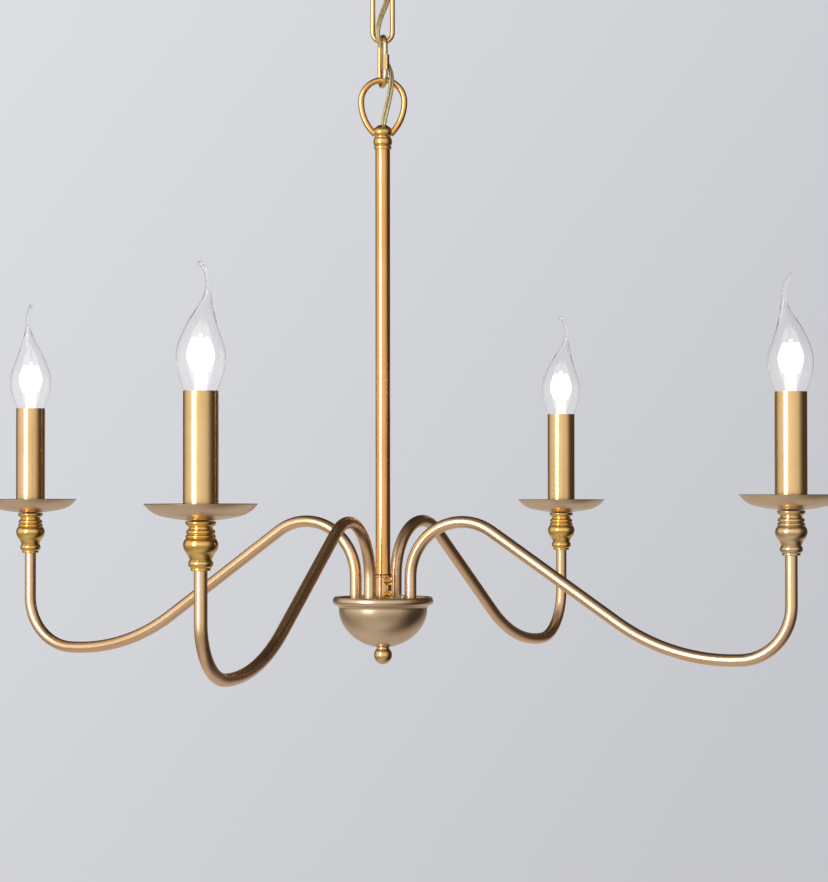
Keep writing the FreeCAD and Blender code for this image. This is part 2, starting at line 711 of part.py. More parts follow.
def bulb_glass(name):
    """Thin flame-shaped glass drawn out to a bowed tail; the sleeve's top is z = 0."""
    r, wall, wide, swell = S.glass_radius, S.glass_wall, S.glass_widest, S.glass_swell
    foot, neck, mouth = S.glass_foot, S.glass_neck, S.glass_mouth
    shoulder, bend = S.glass_shoulder, S.glass_turn_in
    neck_flare = 40.0
    body = turned(name, [
        (neck - wall, foot), (neck, foot), (mouth, 0, -neck_flare), (r, wide, float(swell)),
        (shoulder, S.glass_shoulder_height, float(bend)), (S.glass_top_radius, S.glass_top),
        (0, S.glass_top + S.glass_top_radius), (0, S.hollow_top),
        (shoulder - wall, S.glass_shoulder_height), (r - wall, wide, -float(bend - wall)),
        (mouth - wall, 0.2, -float(swell - wall)), (neck - wall, foot + 0.2, neck_flare)])
    return bent_rod(name + "_tail", (0, S.tail_start), float(S.tail_heading), [
        (S.tail_rise,), (S.tail_bend, 90 - float(S.tail_heading)),
        (S.tail_curl_radius, S.tail_curl), (S.tail_tip,)], S.tail_radius, body=body)


def bulb_filament(name):
    """Glass mount and lead wires, and the filament hung on them, as one plain solid."""
    r, low, high = S.filament_radius, S.filament_low, S.filament_high
    return turned(name, [
        (0, S.glass_foot), (4.5, S.glass_foot), (2.2, -3), (1.6, low), (r, low + 6),
        (r, high - 4), (1.2, high), (0, high)])


# ---------------------------------------------------------------- the whole light
def build_top():
    keep(ceiling_bracket(), "ceiling_bracket")
    keep(tube("nipple", S.nipple_radius, S.nipple_bore, S.nipple_length), "canopy_nipple",
         spot=(0, 0, -S.nipple_length))
    keep(hexagon("lock_nut", S.nut_flat * 1.15, S.nut_thick, S.nipple_radius + 0.05,
                 -S.bracket_thick - S.nut_thick - 0.05), "canopy_nut")
    keep(canopy_dish(), "canopy_dish")
    place = {"spot": (0, 0, row_z(canopy_low)), "flip": 180.0}
    depth = S.nipple_length - S.canopy_depth + 0.5
    keep(knob("canopy_knob", S.nipple_radius + 0.05, depth), "canopy_knob", **place)
    keep(ring("canopy_ring"), "canopy_ring", **place)


def build_chain():
    for number in range(4):
        piece = link(f"link_{number + 1}", S.link_length)
        spot = (0, 0, row_z(link_low[number]))
        keep(piece, f"chain_link_{number + 1}", spot=spot, spin=90.0 * (number % 2))
    turn = 90 + float(S.quick_turn)
    keep(quick_link(), "quick_link", spot=(0, 0, row_z(quick_low)), spin=turn)


def build_stem():
    foot = row_z(as_size(0))
    keep(ring("stem_ring"), "stem_ring", spot=(0, 0, row_z(S.stem_top)))
    keep(knob("stem_knob", as_size(4.0), as_size(1.0)), "stem_knob",
         spot=(0, 0, row_z(S.stem_top)))
    stem_length = S.stem_top - S.stem_foot
    keep(tube("stem", S.stem_radius, S.stem_radius - S.stem_wall, stem_length), "stem_tube",
         spot=(0, 0, row_z(S.stem_foot)))
    keep(hub_collar(), "hub_collar", spot=(0, 0, row_z(S.collar_base)))
    keep(collar_screws(), "collar_screws", spot=(0, 0, row_z(S.collar_base)))
    keep(hub_plate(), "hub_plate", spot=(0, 0, row_z(S.plate_top - S.plate_thick)))
    keep(solid("Cylinder", "rod", Radius=S.rod_radius, Height=S.rod_top - S.rod_foot),
         "hub_rod", spot=(0, 0, row_z(S.rod_foot)))
    keep(hub_nuts(), "hub_nuts", spot=(0, 0, foot))
    keep(hub_cup(), "hub_cup", spot=(0, 0, foot))
    keep(finial_ball(), "finial_ball", spot=(0, 0, foot))


def build_arm(side):
    azimuth, swivel, tail = ARMS[side][:3]
    reach, cup_foot = arm_end(side)
    angle, aim = math.radians(azimuth), math.radians(azimuth + swivel)
    x, y = S.arm_circle * math.cos(angle), S.arm_circle * math.sin(angle)
    end_x, end_y = x + reach * math.cos(aim), y + reach * math.sin(aim)
    spin = azimuth + swivel
    keep(arm_tube(side), "arm_tube_" + side, spot=(x, y, row_z(as_size(0))), spin=spin)
    keep(arm_nuts("nuts_" + side), "arm_nuts_" + side, spot=(x, y, row_z(as_size(0))), spin=spin)

    def up(height):
        return {"spot": (end_x, end_y, row_z(height + cup_foot)), "spin": spin}

    floor = S.cup_height + S.pan_wall
    sleeve_top = floor + S.sleeve_lift + S.sleeve_length
    keep(candle_cup("candle_" + side), "candle_cup_" + side, **up(as_size(0)))
    keep(drip_pan("pan_" + side), "drip_pan_" + side, **up(S.cup_height))
    keep(tube("sleeve_" + side, S.sleeve_radius, S.sleeve_radius - S.sleeve_wall,
              S.sleeve_length), "candle_sleeve_" + side, **up(floor + S.sleeve_lift))
    keep(lampholder("holder_" + side), "lampholder_" + side, **up(floor + S.holder_lift))
    cap_foot = sleeve_top + S.glass_foot - S.contact_height - S.cap_height
    keep(bulb_cap("cap_" + side), "bulb_cap_" + side, **up(cap_foot))
    top = {"spot": (end_x, end_y, row_z(sleeve_top + cup_foot)), "spin": tail}
    keep(bulb_glass("glass_" + side), "bulb_glass_" + side, **top)
    keep(bulb_filament("filament_" + side), "bulb_filament_" + side, **top)


build_top()
build_chain()
near = Rotation(Vector(0, 0, 1), 90 + float(S.quick_turn)).multVec(
    Vector(-float(S.link_width - S.link_wire) / 2, 0, 0))
keep(sleeve_nut(), "quick_link_nut",
     spot=(near.x, near.y, row_z(quick_low + S.sleeve_nut_height)))
build_stem()
for name in ARMS:
    build_arm(name)
keep(cord(), "supply_cord")

# ---------------------------------------------------------------- check and write
doc.recompute()
for thing in doc.Objects:
    if "Invalid" in thing.State or "Error" in thing.State:
        raise RuntimeError(f"{thing.Label} failed: {thing.State}")
os.makedirs("parts", exist_ok=True)
for piece in pieces:
    if piece.Shape.isNull() or not piece.Shape.isValid():
        raise RuntimeError(f"{piece.Label} has no valid shape")
    piece.Shape.exportStep(f"parts/{piece.Label}.step")
print(len(pieces), "pieces, drop", round(float(drop), 2))
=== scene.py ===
"""Looks for a four-armed candle chandelier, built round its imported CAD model.

Lengths are metres in the row frame: origin at the ceiling, +Z up, the camera on -Y.
"""
import json
import math

import bpy
from mathutils import Matrix, Vector


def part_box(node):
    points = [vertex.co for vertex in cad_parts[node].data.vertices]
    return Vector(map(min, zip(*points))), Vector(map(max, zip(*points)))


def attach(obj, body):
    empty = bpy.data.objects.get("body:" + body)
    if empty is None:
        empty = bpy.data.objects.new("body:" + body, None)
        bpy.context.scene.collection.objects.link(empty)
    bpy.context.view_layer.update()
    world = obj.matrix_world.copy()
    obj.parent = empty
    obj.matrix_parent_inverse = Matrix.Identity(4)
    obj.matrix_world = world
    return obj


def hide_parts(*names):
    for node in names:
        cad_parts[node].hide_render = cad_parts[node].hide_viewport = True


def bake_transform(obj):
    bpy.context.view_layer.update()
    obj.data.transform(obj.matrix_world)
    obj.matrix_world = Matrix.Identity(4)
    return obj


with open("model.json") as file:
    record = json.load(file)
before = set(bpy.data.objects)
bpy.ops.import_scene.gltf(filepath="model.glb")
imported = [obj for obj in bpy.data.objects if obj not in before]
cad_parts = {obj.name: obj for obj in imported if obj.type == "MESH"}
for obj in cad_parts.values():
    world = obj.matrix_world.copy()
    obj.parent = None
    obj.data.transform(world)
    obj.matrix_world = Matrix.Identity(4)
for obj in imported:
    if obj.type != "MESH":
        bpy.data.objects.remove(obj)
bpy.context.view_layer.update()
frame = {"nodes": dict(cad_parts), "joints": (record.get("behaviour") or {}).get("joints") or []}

MM = 0.001                                    # one millimetre, in metres
SIDES = ("left", "front", "back", "right")    # the four arms and their bulbs
NODES = frame["nodes"]


def middle(node):
    """Centre of a CAD node's box, with the heights of its foot and top."""
    low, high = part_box(node)
    return (low + high) / 2, low.z, high.z


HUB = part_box("hub_cup")[1].z                  # height of the hub's rim
LAMP_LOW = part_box("candle_sleeve_front")[1].z + 18 * MM       # where the glass's painted glow is strongest
LAMP_HIGH = LAMP_LOW + 42 * MM                                # where that painted glow has faded


# ================================================================ shader helpers
class Paint:
    """One node material, with short calls for the nodes used here."""

    def __init__(self, name):
        self.material = bpy.data.materials.new(name)
        self.material.use_nodes = True
        self.tree = self.material.node_tree
        self.shader = self.tree.nodes["Principled BSDF"]

    def add(self, kind, **settings):
        """A new node, with some of its own settings."""
        node = self.tree.nodes.new("ShaderNode" + kind)
        for key, value in settings.items():
            setattr(node, key, value)
        return node

    def link(self, source, target):
        self.tree.links.new(source, target)

    def set(self, **values):
        """Values for the shader's own sockets: base_color=... sets "Base Color"."""
        for key, value in values.items():
            name = key.replace("_", " ").title().replace("Ior", "IOR")
            self.shader.inputs[name].default_value = value

    def colour(self, source):
        """Colours the shader from a socket."""
        self.link(source, self.shader.inputs["Base Color"])

    def place(self, scale=(1, 1, 1)):
        """Object coordinates, scaled along each axis."""
        spot = self.add("TexCoord")
        mapping = self.add("Mapping")
        mapping.inputs["Scale"].default_value = scale
        self.link(spot.outputs["Object"], mapping.inputs["Vector"])
        return mapping.outputs["Vector"]

    def noise(self, where, scale, detail=4.0, roughness=0.55, distortion=0.0):
        """Soft noise; scale is about how many lumps there are to a metre."""
        node = self.add("TexNoise")
        node.inputs["Scale"].default_value = scale
        node.inputs["Detail"].default_value = detail
        node.inputs["Roughness"].default_value = roughness
        node.inputs["Distortion"].default_value = distortion
        self.link(where, node.inputs["Vector"])
        return node.outputs["Fac"]

    def spread(self, value, low, high, to_low=0.0, to_high=1.0):
        """A value from low to high, stretched to run from to_low to to_high."""
        node = self.add("MapRange")
        node.inputs["From Min"].default_value = low
        node.inputs["From Max"].default_value = high
        node.inputs["To Min"].default_value = to_low
        node.inputs["To Max"].default_value = to_high
        self.link(value, node.inputs["Value"])
        return node.outputs["Result"]

    def blend(self, share, first, second):
        """Mix of two colours, or of a socket and a colour."""
        node = self.add("Mix", data_type="RGBA")
        self.link(share, node.inputs["Factor"])
        for value, socket in ((first, node.inputs["A"]), (second, node.inputs["B"])):
            if isinstance(value, bpy.types.NodeSocket):
                self.link(value, socket)
            else:
                socket.default_value = (*value, 1.0)
        return node.outputs["Result"]

    def maths(self, operation, *values):
        """One sum on sockets and numbers."""
        node = self.add("Math", operation=operation)
        for value, socket in zip(values, node.inputs):
            if isinstance(value, bpy.types.NodeSocket):
                self.link(value, socket)
            else:
                socket.default_value = value
        return node.outputs["Value"]

    def bump(self, height, strength, distance):
        """Roughens the shader's surface by a height from 0 to 1; distance is its depth."""
        node = self.add("Bump")
        node.inputs["Strength"].default_value = strength
        node.inputs["Distance"].default_value = distance
        self.link(height, node.inputs["Height"])
        self.link(node.outputs["Normal"], self.shader.inputs["Normal"])

    def gloss(self, smudge, least, extra):
        """Roughness that rises above its least by up to extra where there are smudges."""
        self.link(self.maths("MULTIPLY_ADD", smudge, extra, least),
                  self.shader.inputs["Roughness"])


def linear(red, green, blue):
    """A colour given as 0-255 display values, made linear."""
    def one(value):
        value /= 255
        return value / 12.92 if value <= 0.04045 else ((value + 0.055) / 1.055) ** 2.4
    return one(red), one(green), one(blue)


# ================================================================ metals
def plated_metal(name, colour, shade, roughness, lines=0.0, mottle=0.35, coat=0.3):
    """Plating with a soft colour drift and faint smudges. It has lathe lines where lines
    is over 0, and clear lacquer where coat is."""
    paint = Paint(name)
    where = paint.place()
    drift = paint.spread(paint.noise(where, scale=38.0, detail=3.0), 0.35, 0.7, to_high=mottle)
    smudge = paint.noise(where, scale=140.0, detail=5.0, roughness=0.6, distortion=0.4)
    base = paint.blend(drift, colour, shade)
    specks = paint.spread(smudge, 0.62, 0.8, to_high=0.18)
    paint.colour(paint.blend(specks, base, shade))
    paint.gloss(smudge, least=roughness * 0.8, extra=roughness * 0.4)
    if lines:
        level = paint.place(scale=(0.02, 0.02, 1.0))
        rings = paint.noise(level, scale=900.0, detail=2.0, roughness=0.6)
        paint.bump(rings, strength=lines, distance=0.02 * MM)
    paint.set(metallic=1.0, coat_weight=coat, coat_roughness=0.16)
    return paint.material


def drawn_tube_metal(name, colour, shade, roughness, coat=0.35):
    """Lacquered satin tube, with slow colour drift and faint smudges."""
    paint = Paint(name)
    where = paint.place()
    drift = paint.spread(paint.noise(where, scale=22.0), 0.38, 0.68, to_high=0.4)
    smudge = paint.noise(where, scale=120.0, detail=5.0, roughness=0.6, distortion=0.5)
    paint.colour(paint.blend(drift, colour, shade))
    paint.gloss(smudge, least=roughness * 0.85, extra=roughness * 0.3)
    paint.set(metallic=1.0, coat_weight=coat, coat_roughness=0.22)
    return paint.material


def lampholder_material():
    """Ivory moulded plastic with a faint mould grain."""
    paint = Paint("lampholder_plastic")
    where = paint.place()
    grain = paint.noise(where, scale=900.0)
    patch = paint.spread(paint.noise(where, scale=60.0, detail=3.0), 0.4, 0.7, to_high=0.5)
    paint.colour(paint.blend(patch, (0.74, 0.70, 0.60), (0.62, 0.57, 0.46)))
    paint.bump(grain, strength=0.2, distance=0.05 * MM)
    paint.set(roughness=0.42, specular_ior_level=0.5)
    return paint.material


def glass_material():
    """Clear blown glass with a slight unevenness, and a faint painted glow near the filament
    that stands in for the lamp's overexposed bloom.
    """
    paint = Paint("clear_glass")
    where = paint.place()
    waves = paint.noise(where, scale=70.0, detail=2.0, roughness=0.4)
    paint.bump(waves, strength=0.1, distance=0.4 * MM)
    split = paint.add("SeparateXYZ")
    paint.link(where, split.inputs["Vector"])
    # Painted glow: emission that fades upwards from LAMP_LOW to LAMP_HIGH, in place of the
    # lamp's bloom in the glass
    glow = paint.spread(split.outputs["Z"], LAMP_LOW, LAMP_HIGH, to_low=0.028, to_high=0.0)
    paint.link(glow, paint.shader.inputs["Emission Strength"])
    paint.set(base_color=(0.985, 0.985, 0.985, 1.0), roughness=0.0, ior=1.46,
              transmission_weight=1.0, emission_color=(1.0, 0.93, 0.91, 1.0))
    return paint.material


def glow_material(name, colour, strength):
    """A part of the lamp that gives light, a little unevenly along its length. On the filament
    this is the lamp's own light; on the mount it is painted glow.
    """
    paint = Paint(name)
    patches = paint.noise(paint.place(), scale=260.0, detail=2.0)
    glow_drift = paint.spread(patches, 0.3, 0.7, to_low=0.9, to_high=1.1)
    glow_strength = paint.maths("MULTIPLY", glow_drift, strength)
    paint.set(base_color=(0.5, 0.45, 0.4, 1.0), roughness=0.5,
              emission_color=(*colour, 1.0))
    paint.link(glow_strength, paint.shader.inputs["Emission Strength"])
    return paint.material


def flex_material():
    """Clear sheath over fine copper strands, which show as faint long lines."""
    paint = Paint("clear_flex")
    upright = paint.place(scale=(1.0, 1.0, 0.04))
    strands = paint.noise(upright, scale=1500.0, detail=2.0, roughness=0.5)
    share = paint.spread(strands, 0.35, 0.65)
    paint.colour(paint.blend(share, linear(200, 186, 138), linear(158, 142, 92)))
    paint.set(metallic=0.2, roughness=0.4, coat_weight=0.7, coat_roughness=0.12)
    return paint.material


SATIN_GOLD = drawn_tube_metal("satin_gold", linear(242, 185, 116), linear(222, 153, 80), 0.2)
TURNED_GOLD = plated_metal("turned_gold", linear(240, 192, 114), linear(216, 160, 82), 0.2,
                           lines=0.03)
CHAMPAGNE_TUBE = drawn_tube_metal("champagne_tube", linear(236, 200, 160),
                                  linear(218, 178, 134), 0.28)
CHAMPAGNE = plated_metal("champagne_satin", linear(226, 203, 172), linear(204, 178, 142), 0.3,
                         lines=0.05, mottle=0.6)
SLEEVE_GOLD = plated_metal("sleeve_gold", linear(236, 200, 144), linear(222, 180, 118), 0.2)
FINIAL = plated_metal("finial_gold", linear(230, 192, 136), linear(206, 160, 104), 0.14)
BRASS = plated_metal("polished_brass", linear(246, 204, 122), linear(226, 176, 90), 0.13,
                     lines=0.02)
SCREW_BRASS = plated_metal("screw_brass", linear(246, 208, 120), linear(228, 180, 88), 0.16)
CUP_SATIN = plated_metal("cup_satin", linear(230, 202, 158), linear(206, 172, 124), 0.18,
                         lines=0.03)
CHAIN_GOLD = plated_metal("chain_gold", linear(238, 202, 140), linear(212, 168, 100), 0.19)
COLLAR = plated_metal("collar_gold", linear(226, 188, 138), linear(204, 156, 102), 0.16)
# Painted shadow: dark brown for the shade in the gap between the stem and its collar
GAP_SHADOW_PAINT = plated_metal("painted_gap_shadow", linear(96, 68, 38), linear(62, 40, 22), 0.4)
ZINC = plated_metal("zinc_steel", (0.62, 0.63, 0.64), (0.5, 0.52, 0.55), 0.33, mottle=0.6,
                    coat=0.0)
LAMP_CAP = plated_metal("lamp_cap", (0.74, 0.72, 0.68), (0.6, 0.57, 0.5), 0.22, coat=0.0)
PLASTIC = lampholder_material()
GLASS = glass_material()
FLEX = flex_material()
FILAMENT = glow_material("filament_wire", (1.0, 0.9, 0.8), 2.4)
# Painted glow: the mount is no lamp, but it emits light to stand in for the overexposed glare
# round the filament
MOUNT_PAINTED_GLOW = glow_material("mount_painted_glow", (1.0, 0.88, 0.78), 1.3)


def dress(material, *names):
    """Gives CAD nodes a finished material."""
    for name in names:
        data = NODES[name].data
        data.materials.clear()
        data.materials.append(material)


dress(SATIN_GOLD, "stem_tube", "stem_ring", "canopy_ring")
dress(TURNED_GOLD, "stem_knob", "canopy_knob", "canopy_dish")
dress(COLLAR, "hub_collar")
dress(CHAMPAGNE, "hub_cup")
dress(FINIAL, "finial_ball")
dress(SCREW_BRASS, "collar_screws")
dress(CHAIN_GOLD, "chain_link_1", "chain_link_2", "chain_link_3", "chain_link_4", "quick_link",
      "quick_link_nut")
dress(ZINC, "ceiling_bracket", "canopy_nipple", "canopy_nut", "hub_plate", "hub_rod",
      "hub_nuts")
for side in SIDES:
    dress(CHAMPAGNE_TUBE, "arm_tube_" + side)
    dress(ZINC, "arm_nuts_" + side)
    dress(CHAMPAGNE, "drip_pan_" + side)
    dress(SLEEVE_GOLD, "candle_sleeve_" + side)
    dress(PLASTIC, "lampholder_" + side)
    dress(CUP_SATIN if side == "right" else BRASS, "candle_cup_" + side)


# ================================================================ mesh helpers
def circle(count):
    """Angles of evenly spaced points round a full turn."""
    return [math.tau * k / count for k in range(count)]


class Skin:
    """Points and faces of one mesh, made of rings that are joined one after another."""

    def __init__(self):
        self.points = []
        self.faces = []

    def ring(self, spots):
        """Adds points; a ring is known by its first point's number and its length."""
        first = len(self.points)
        self.points.extend(spots)
        return first, len(spots)

    def level_ring(self, centre, radius, height, count):
        """A ring at one height round an upright line."""
        return self.ring([
            Vector((centre.x + radius * math.cos(a), centre.y + radius * math.sin(a), height))
            for a in circle(count)])

    def cross_ring(self, spot, across, up, radius, count):
        """A ring in the plane of two vectors."""
        return self.ring([
            spot + (across * math.cos(a) + up * math.sin(a)) * radius for a in circle(count)])

    def bridge(self, one, two):
        """Faces between two rings of the same length."""
        (a, count), (b, _) = one, two
        for k in range(count):
            after = (k + 1) % count
            self.faces.append((a + k, a + after, b + after, b + k))

    def join(self, rings):
        """Faces from each ring to the next."""
        for one, two in zip(rings, rings[1:]):
            self.bridge(one, two)

    def cap(self, ring, tip, flip=False):
        """Closes a ring with a point; flip is for the end where the rings start."""
        first, count = ring
        self.points.append(tip)
        point = len(self.points) - 1
        for k in range(count):
            face = (first + k, first + (k + 1) % count, point)
            self.faces.append(face[::-1] if flip else face)

    def tube(self, path, radii, count):
        """A tube along a path, closed by a point at each end."""
        rings = []
        for spot, across, up, radius in zip(path, *frames_along(path), radii):
            rings.append(self.cross_ring(spot, across, up, radius, count))
        self.join(rings)
        self.cap(rings[0], path[0], flip=True)
        self.cap(rings[-1], path[-1])

    def piece(self, name, material):
        """The finished, smoothly shaded object."""
        data = bpy.data.meshes.new(name)
        data.from_pydata([tuple(p) for p in self.points], [], self.faces)
        data.update()
        data.polygons.foreach_set("use_smooth", [True] * len(data.polygons))
        data.materials.append(material)
        made = bpy.data.objects.new(name, data)
        bpy.context.scene.collection.objects.link(made)
        return made


def frames_along(path):
    """Two unit vectors across a path at each point, which turn as little as they can."""
    ways = []
    for k in range(len(path)):
        ways.append((path[min(k + 1, len(path) - 1)] - path[max(k - 1, 0)]).normalized())
    across = [ways[0].orthogonal().normalized()]
    for way in ways[1:]:
        kept = across[-1] - way * across[-1].dot(way)
        across.append(kept.normalized())
    return across, [way.cross(side) for way, side in zip(ways, across)]


def spline_points(route, steps):
    """Points along a NURBS spline of order 3 through a route's control points."""
    data = bpy.data.curves.new("route", "CURVE")
    data.dimensions = "3D"
    spline = data.splines.new("NURBS")
    spline.points.add(len(route) - 1)
    for point, spot in zip(spline.points, route):
        point.co = (*spot, 1.0)
    spline.order_u = 3
    spline.use_endpoint_u = True
    spline.resolution_u = steps
    holder = bpy.data.objects.new("route", data)
    mesh = bpy.data.meshes.new_from_object(holder)
    points = [vertex.co.copy() for vertex in mesh.vertices]
    bpy.data.meshes.remove(mesh)
    bpy.data.objects.remove(holder)
    bpy.data.curves.remove(data)
    return points


# ================================================================ camera, stage, lights
LENS = 110.65                                 # focal length for a 36 mm wide sensor, in mm
EYE = (0.0253, -2.209, HUB + 0.088)           # where the camera stands
EYE_RISE = 1.01                               # how far it looks up, in degrees
EYE_ROLL = 0.05                               # how far it is rolled, in degrees


def make_camera():
    data = bpy.data.cameras.new("camera")
    data.lens = LENS
    data.sensor_width = 36.0
    data.clip_end = 60.0
    camera = bpy.data.objects.new("camera", data)
    camera.location = EYE
    camera.rotation_euler = (math.radians(90 + EYE_RISE), math.radians(EYE_ROLL), 0.0)
    bpy.context.scene.collection.objects.link(camera)
    bpy.context.scene.camera = camera


def backdrop_material():
    """Even glow with a painted fall of light: it darkens slowly downwards and to the right."""
    paint = Paint("backdrop")
    split = paint.add("SeparateXYZ")
    paint.link(paint.place(), split.inputs["Vector"])
    # Painted light falloff across the backdrop
    side = paint.maths("MULTIPLY_ADD", split.outputs["X"], 0.28, 0.5)
    slope = paint.maths("MULTIPLY_ADD", split.outputs["Z"], -0.2, side)
    share = paint.spread(slope, -0.15, 1.15)
    tone = paint.blend(share, linear(219, 221, 226), linear(196, 197, 202))
    paint.link(tone, paint.shader.inputs["Emission Color"])
    paint.set(base_color=(0.02, 0.02, 0.02, 1.0), roughness=1.0, emission_strength=1.0,
              specular_ior_level=0.0)
    return paint.material


def make_stage():
    """A pale floor that curves up into a round backdrop, with a soft fall of light."""
    floor, reach, bend, top = -2.3, 5.5, 2.0, 7.0        # in metres
    profile = [(reach * 0.6, floor), (reach, floor)]
    for k in range(1, 13):
        angle = math.pi / 2 * k / 12
        profile.append((reach + bend * math.sin(angle), floor + bend - bend * math.cos(angle)))
    profile.append((reach + bend, top))
    centre = Vector((0, 0, floor))
    skin = Skin()
    rings = [skin.level_ring(centre, radius, height, 96) for radius, height in profile]
    skin.join(rings)
    skin.cap(rings[0], centre, flip=True)
    bowl = skin.piece("backdrop", backdrop_material())
    bowl.visible_glossy = False
    bowl.visible_diffuse = False
    bowl.visible_shadow = False


def softbox(name, spot, width, height, radiance, colour):
    """A soft light panel that faces the stem, a little over the hub."""
    data = bpy.data.lights.new(name, "AREA")
    data.shape = "RECTANGLE"
    data.size = width
    data.size_y = height
    data.energy = radiance * math.pi * width * height
    data.color = colour
    panel = bpy.data.objects.new(name, data)
    panel.location = spot
    aim = Vector((0, 0, HUB + 0.08))
    panel.rotation_euler = (aim - Vector(spot)).to_track_quat("-Z", "Y").to_euler()
    panel.visible_camera = False
    bpy.context.scene.collection.objects.link(panel)


class Room:
    """The light of the studio round the object, as a function of direction."""

    def __init__(self):
        world = bpy.data.worlds.new("room")
        bpy.context.scene.world = world
        world.use_nodes = True
        self.tree = world.node_tree
        self.way = self.add("TexCoord").outputs["Generated"]

    def add(self, kind):
        """A new node."""
        return self.tree.nodes.new("ShaderNode" + kind)

    def towards(self, turn, rise):
        """1 towards a direction and 0 away from it. turn is right of the front, in degrees."""
        turn, rise = math.radians(turn), math.radians(rise)
        facing = self.add("VectorMath")
        facing.operation = "DOT_PRODUCT"
        facing.inputs[1].default_value = (math.sin(turn) * math.cos(rise),
                                          -math.cos(turn) * math.cos(rise), math.sin(rise))
        self.tree.links.new(self.way, facing.inputs[0])
        share = self.add("MapRange")
        share.inputs["From Min"].default_value = -1.0
        self.tree.links.new(facing.outputs["Value"], share.inputs["Value"])
        return share.outputs["Result"]

    def ramp(self, share, stops):
        """Light levels along a share from 0 to 1: each stop is a place, a level, a tint."""
        node = self.add("ValToRGB")
        elements = node.color_ramp.elements
        elements.remove(elements[1])
        for number, (spot, level, tint) in enumerate(stops):
            stop = elements.new(spot) if number else elements[0]
            stop.position = spot
            stop.color = (*(level * part for part in tint), 1.0)
        self.tree.links.new(share, node.inputs["Fac"])
        return node.outputs["Color"]

    def join(self, how, first, second):
        """Two lights added or multiplied."""
        mix = self.add("Mix")
        mix.data_type = "RGBA"
        mix.blend_type = how
        mix.inputs["Factor"].default_value = 1.0
        self.tree.links.new(first, mix.inputs["A"])
        self.tree.links.new(second, mix.inputs["B"])
        return mix.outputs["Result"]


def make_room_light():
    """Bright in front and to the left, warm and dark at the sides and behind, with a darker
    band below eye level, a dark ceiling, and a pale patch of floor behind."""
    room = Room()
    warm, soft, white = (1.0, 0.72, 0.58), (1.0, 0.9, 0.8), (1.0, 0.98, 0.95)
    walls = room.ramp(room.towards(-30, 8), (
        (0.0, 0.07, warm), (0.25, 0.075, warm), (0.38, 0.13, soft), (0.5, 0.4, soft),
        (0.62, 0.74, white), (0.8, 0.92, white), (1.0, 1.1, white)))
    height = room.ramp(room.towards(0, 90), (
        (0.0, 0.8, white), (0.1, 0.7, white), (0.24, 0.46, soft), (0.36, 0.5, soft),
        (0.46, 0.95, white), (0.68, 1.0, white), (0.84, 0.66, white), (0.93, 0.25, soft)))
    floor = room.ramp(room.towards(180, -45), (
        (0.76, 0.0, white), (0.92, 0.5, (1.0, 0.9, 0.84))))
    light = room.join("ADD", room.join("MULTIPLY", walls, height), floor)
    room.tree.links.new(light, room.tree.nodes["Background"].inputs["Color"])


def make_lights():
    """The room's soft light, and a tall panel in front on the left for the long highlights."""
    make_room_light()
    softbox("key_strip", (-1.7, -2.15, HUB + 0.55), width=0.95, height=1.9, radiance=6.2,
            colour=(1.0, 0.98, 0.96))


# ================================================================ collar
def make_collar_gap_shadow():
    """Dark ring of painted shadow, for the shade in the gap where the stem stands in its collar.
    """
    centre, _, top = middle("hub_collar")
    # Radius, and height over the collar's top, in mm; the last ring joins the first.
    outline = ((6.04, -0.3), (6.04, 0.5), (6.4, 0.6), (6.9, 0.35), (7.05, 0.02))
    skin = Skin()
    rings = [skin.level_ring(centre, radius * MM, top + height * MM, 48)
             for radius, height in outline]
    for one, two in zip(rings, rings[1:] + rings[:1]):
        skin.bridge(two, one)
    # This ring carries the painted shadow of the gap between stem and collar.
    piece = skin.piece("collar_gap_shadow", GAP_SHADOW_PAINT)
    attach(piece, "fixture")


# ================================================================ supply cord
# Control points of the cord, from the stem's knob up to the canopy's, in mm; heights
# count from the hub's rim.
CORD_ROUTE = [
    (0.0, 0.0, 370.0), (0.1, 0.0, 383.0), (2.4, -1.4, 394.5), (5.2, -3.8, 406.0),
    (7.4, -6.4, 417.5), (7.0, -3.2, 428.5), (2.9, -0.9, 438.0), (-1.4, -3.1, 448.0),
    (-4.5, -6.1, 458.0), (-2.8, -4.2, 469.0), (0.2, 1.0, 478.0), (4.0, 4.9, 488.5),
    (5.9, 5.9, 499.5), (2.6, 2.4, 511.0), (-2.2, -1.8, 521.5), (-5.9, -5.9, 535.0),
    (-2.8, -3.0, 548.5), (1.8, 1.9, 561.0), (5.9, 5.9, 574.5), (2.8, 3.0, 588.0),
    (-1.8, -2.0, 600.5), (-5.6, -6.8, 614.0), (-3.0, -4.0, 628.0), (-0.4, -0.4, 640.5),
    (0.0, 0.0, 652.5), (0.0, 0.1, 662.0),
]
STRAND = 1.22 * MM            # radius of one insulated strand
STRAND_OUT = 1.16 * MM        # from the cord's middle to a strand's middle
TWIST = 190.0 * MM            # length of one full twist: the twin flex is nearly flat
FLAT = math.radians(75)       # how far the flex is turned where it leaves the stem


def hinge_height(name):
    """Height of a joint's axis."""
    joint = next(j for j in frame["joints"] if j["name"] == name)
    return joint["pos_m"][2]


